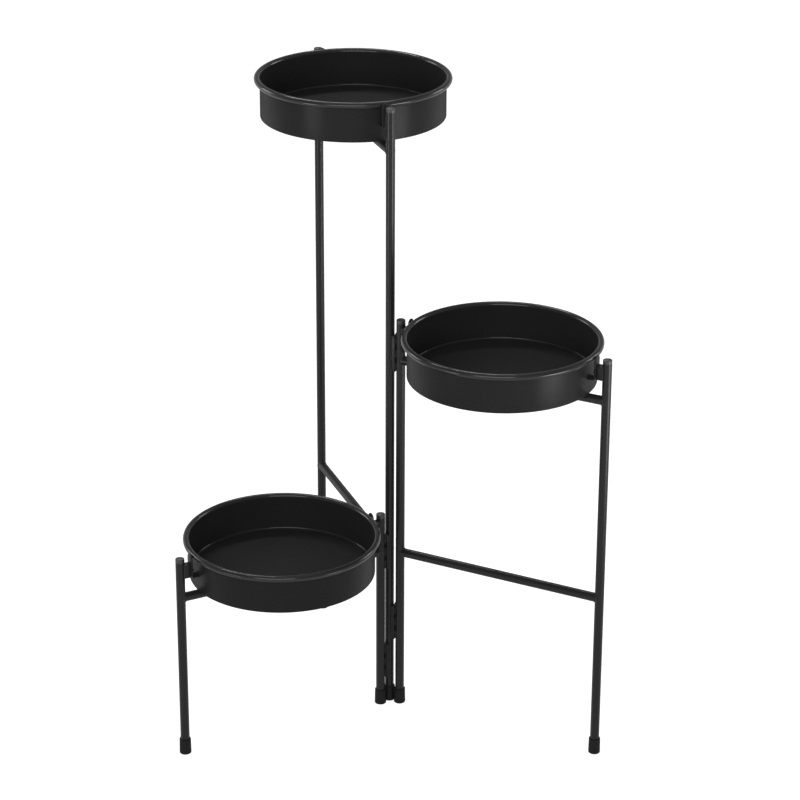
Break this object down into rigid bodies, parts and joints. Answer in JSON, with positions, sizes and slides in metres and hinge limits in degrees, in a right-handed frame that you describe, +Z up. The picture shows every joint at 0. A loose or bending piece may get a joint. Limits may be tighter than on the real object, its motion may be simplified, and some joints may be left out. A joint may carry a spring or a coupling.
{
  "type": "folding plant stand",
  "caption": "Folding metal plant stand: ladder frames of round tube hinged round one post, each holding a round rimmed tray at its own height.",
  "frame": {"origin": "on the floor under the tall frame's hinge leg, the post that both other frames turn about", "axes": "+Z up along the legs; +Y away from the viewer of the picture; +X to the viewer's right, the side of the middle frame"},
  "size_m": [0.5596, 0.4931, 0.8509],
  "materials": {
    "tube_coat": "black powder coat, satin",
    "tray_coat": "black powder coat, satin",
    "hinge_coat": "black powder coat, satin",
    "plug_plastic": "moulded, fine matt",
    "foot_rubber": "matt moulded rubber",
    "pin_steel": "blackened steel",
    "screw_black": "black oxide"
  },
  "bodies": {
    "low_frame": {"low_hinge_foot": "foot_rubber", "low_hinge_leg": "tube_coat", "low_hinge_plug": "plug_plastic", "low_inner_ear": "tube_coat", "low_inner_lug": "tube_coat", "low_inner_screw": "screw_black", "low_lower_wing_leaf": "hinge_coat", "low_outer_ear": "tube_coat", "low_outer_foot": "foot_rubber", "low_outer_leg": "tube_coat", "low_outer_lug": "tube_coat", "low_outer_plug": "plug_plastic", "low_outer_screw": "screw_black", "low_tray": "tray_coat", "low_tray_bar": "tube_coat", "low_upper_wing_leaf": "hinge_coat"},
    "tall_frame": {"low_lower_hinge_pin": "pin_steel", "low_lower_post_leaf": "hinge_coat", "low_upper_hinge_pin": "pin_steel", "low_upper_post_leaf": "hinge_coat", "middle_lower_hinge_pin": "pin_steel", "middle_lower_post_leaf": "hinge_coat", "middle_upper_hinge_pin": "pin_steel", "middle_upper_post_leaf": "hinge_coat", "tall_hinge_foot": "foot_rubber", "tall_hinge_leg": "tube_coat", "tall_hinge_plug": "plug_plastic", "tall_inner_ear": "tube_coat", "tall_inner_lug": "tube_coat", "tall_inner_screw": "screw_black", "tall_lower_bar": "tube_coat", "tall_outer_ear": "tube_coat", "tall_outer_foot": "foot_rubber", "tall_outer_leg": "tube_coat", "tall_outer_lug": "tube_coat", "tall_outer_plug": "plug_plastic", "tall_outer_screw": "screw_black", "tall_tray": "tray_coat", "tall_tray_bar": "tube_coat"},
    "middle_frame": {"middle_hinge_foot": "foot_rubber", "middle_hinge_leg": "tube_coat", "middle_hinge_plug": "plug_plastic", "middle_inner_ear": "tube_coat", "middle_inner_lug": "tube_coat", "middle_inner_screw": "screw_black", "middle_lower_bar": "tube_coat", "middle_lower_wing_leaf": "hinge_coat", "middle_outer_ear": "tube_coat", "middle_outer_foot": "foot_rubber", "middle_outer_leg": "tube_coat", "middle_outer_lug": "tube_coat", "middle_outer_plug": "plug_plastic", "middle_outer_screw": "screw_black", "middle_tray": "tray_coat", "middle_tray_bar": "tube_coat", "middle_upper_wing_leaf": "hinge_coat"}
  },
  "joints": [
    {"name": "middle_frame_fold", "type": "hinge", "parent": "tall_frame", "child": "middle_frame", "pos_m": [0.00996, 0.00094, 0], "axis": [0, 0, 1], "range_deg": [0, 137.4]},
    {"name": "low_frame_fold", "type": "hinge", "parent": "tall_frame", "child": "low_frame", "pos_m": [-0.00993, -0.00115, 0], "axis": [0, 0, 1], "range_deg": [-98.3, 0]}
  ]
}
